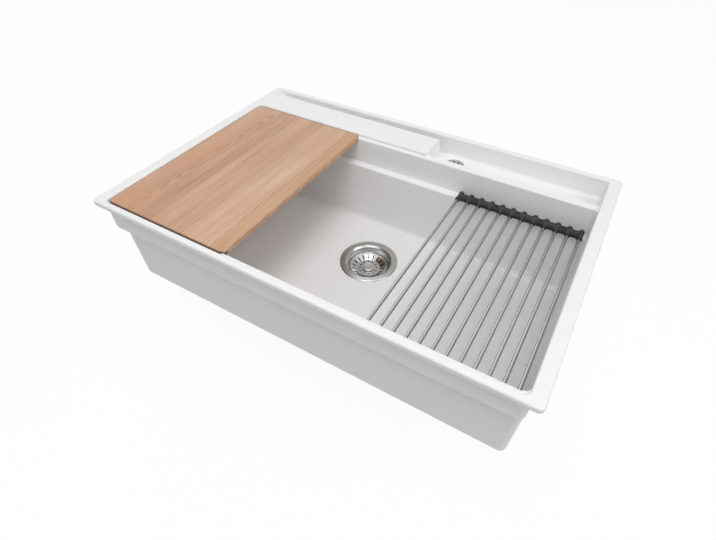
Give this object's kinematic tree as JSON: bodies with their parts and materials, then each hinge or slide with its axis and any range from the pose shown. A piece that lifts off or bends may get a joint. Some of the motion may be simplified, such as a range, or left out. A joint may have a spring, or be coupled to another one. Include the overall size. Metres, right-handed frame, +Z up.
{
  "type": "kitchen sink",
  "caption": "Drop-in single-bowl workstation kitchen sink in cast granite composite, with a caddy tray, basket strainer waste, overflow, sliding cutting board and roll-up drying mat.",
  "frame": {"origin": "middle of the rim's outline in plan, at the underside of the rim, where it sits on the worktop", "axes": "+X to the right of a person at the sink, +Y towards the wall and the tap deck, +Z up"},
  "size_m": [0.838, 0.568, 0.3705],
  "materials": {
    "casting": "matte",
    "polished_steel": "polished",
    "brushed_steel": "satin",
    "silicone": "matte",
    "board_wood": "satin",
    "seal_rubber": "matte",
    "slip_plastic": "matte",
    "nut_plastic": "matte",
    "pipe_plastic": "satin"
  },
  "bodies": {
    "sink": {"sink_body": "casting", "strainer_body": "polished_steel", "strainer_upper_seal": "seal_rubber", "strainer_gasket": "seal_rubber", "strainer_slip_ring": "slip_plastic", "strainer_lock_nut": "nut_plastic", "tail_washer": "slip_plastic", "tailpiece": "pipe_plastic", "coupling_nut": "nut_plastic", "overflow_cover": "brushed_steel", "overflow_screw": "polished_steel", "overflow_gasket": "seal_rubber", "overflow_elbow": "pipe_plastic"},
    "board": {"cutting_board": "board_wood"},
    "basket": {"strainer_basket": "brushed_steel"},
    "post": {"strainer_post": "polished_steel", "strainer_stopper": "seal_rubber"},
    "mat_01": {"mat_rod_01": "brushed_steel", "mat_rod_02": "brushed_steel", "mat_link_01": "silicone"},
    "mat_02": {"mat_rod_03": "brushed_steel", "mat_rod_04": "brushed_steel", "mat_link_02": "silicone"},
    "mat_03": {"mat_rod_05": "brushed_steel", "mat_rod_06": "brushed_steel", "mat_link_03": "silicone"},
    "mat_04": {"mat_rod_07": "brushed_steel", "mat_rod_08": "brushed_steel", "mat_link_04": "silicone"},
    "mat_05": {"mat_rod_09": "brushed_steel", "mat_rod_10": "brushed_steel", "mat_link_05": "silicone"},
    "mat_06": {"mat_rod_11": "brushed_steel", "mat_rod_12": "brushed_steel", "mat_link_06": "silicone"}
  },
  "joints": [
    {"name": "board_slide", "type": "slide", "parent": "sink", "child": "board", "axis": [1, 0, 0], "range_m": [0, 0.507]},
    {"name": "mat_slide", "type": "slide", "parent": "sink", "child": "mat_01", "axis": [-1, 0, 0], "range_m": [0, 0.522]},
    {"name": "mat_fold_01", "type": "hinge", "parent": "mat_01", "child": "mat_02", "pos_m": [0.17457, -0.04625, -0.0462], "axis": [0, 1, 0], "range_deg": [-56, 0]},
    {"name": "mat_fold_02", "type": "hinge", "parent": "mat_02", "child": "mat_03", "pos_m": [0.21877, -0.04625, -0.0462], "axis": [0, 1, 0], "range_deg": [-56, 0]},
    {"name": "mat_fold_03", "type": "hinge", "parent": "mat_03", "child": "mat_04", "pos_m": [0.26297, -0.04625, -0.0462], "axis": [0, 1, 0], "range_deg": [-56, 0]},
    {"name": "mat_fold_04", "type": "hinge", "parent": "mat_04", "child": "mat_05", "pos_m": [0.30717, -0.04625, -0.0462], "axis": [0, 1, 0], "range_deg": [-56, 0]},
    {"name": "mat_fold_05", "type": "hinge", "parent": "mat_05", "child": "mat_06", "pos_m": [0.35137, -0.04625, -0.0462], "axis": [0, 1, 0], "range_deg": [-56, 0]},
    {"name": "basket_lift", "type": "slide", "parent": "sink", "child": "basket", "axis": [0, 0, 1], "range_m": [0, 0.08]},
    {"name": "post_slide", "type": "slide", "parent": "basket", "child": "post", "axis": [0, 0, 1], "range_m": [0, 0.008]}
  ],
  "couplings": [
    {"joint": "mat_fold_02", "follows": "mat_fold_01", "ratio": 1},
    {"joint": "mat_fold_03", "follows": "mat_fold_01", "ratio": 1},
    {"joint": "mat_fold_04", "follows": "mat_fold_01", "ratio": 1},
    {"joint": "mat_fold_05", "follows": "mat_fold_01", "ratio": 1}
  ]
}
